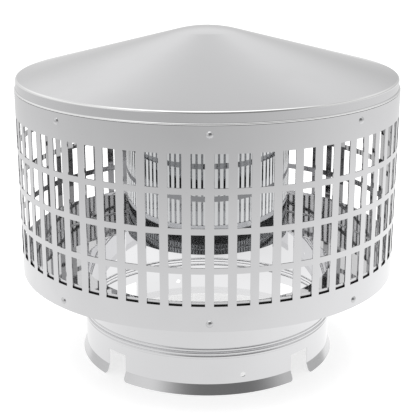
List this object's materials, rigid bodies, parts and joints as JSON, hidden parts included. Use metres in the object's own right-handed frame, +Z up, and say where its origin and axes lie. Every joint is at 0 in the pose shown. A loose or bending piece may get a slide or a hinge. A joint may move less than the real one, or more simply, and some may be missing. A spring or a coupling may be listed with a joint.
{
  "type": "chimney cap",
  "caption": "Round stainless chimney cap: a perforated drum under a conical lid, round a hanging draught tube, riveted to a base ring on a beaded collar with a notched, flared foot.",
  "frame": {"origin": "On the cap's axis, in the plane of the collar's foot that the cap stands on.", "axes": "+Z is up along the axis, towards the tip of the lid. -Y is the front, where a bar of the drum and two rivets lie on the middle line. +Y is the back, with the drum's seam."},
  "size_m": [0.304, 0.3048, 0.2651],
  "materials": {
    "lid_steel": "bright spun stainless sheet",
    "drum_steel": "bright punched stainless sheet",
    "tube_steel": "bright rolled stainless sheet",
    "base_steel": "bright pressed stainless sheet",
    "collar_steel": "bright rolled stainless sheet",
    "rivet_steel": "bright stainless rivet"
  },
  "bodies": {
    "root": {"lid": "lid_steel", "drum": "drum_steel", "draught_tube": "tube_steel", "base_ring": "base_steel", "collar": "collar_steel", "top_rivet_1": "rivet_steel", "top_rivet_2": "rivet_steel", "top_rivet_3": "rivet_steel", "top_rivet_4": "rivet_steel", "top_rivet_5": "rivet_steel", "top_rivet_6": "rivet_steel", "top_rivet_7": "rivet_steel", "top_rivet_8": "rivet_steel", "bottom_rivet_1": "rivet_steel", "bottom_rivet_2": "rivet_steel", "bottom_rivet_3": "rivet_steel", "bottom_rivet_4": "rivet_steel", "bottom_rivet_5": "rivet_steel", "bottom_rivet_6": "rivet_steel", "bottom_rivet_7": "rivet_steel", "bottom_rivet_8": "rivet_steel"}
  },
  "joints": []
}
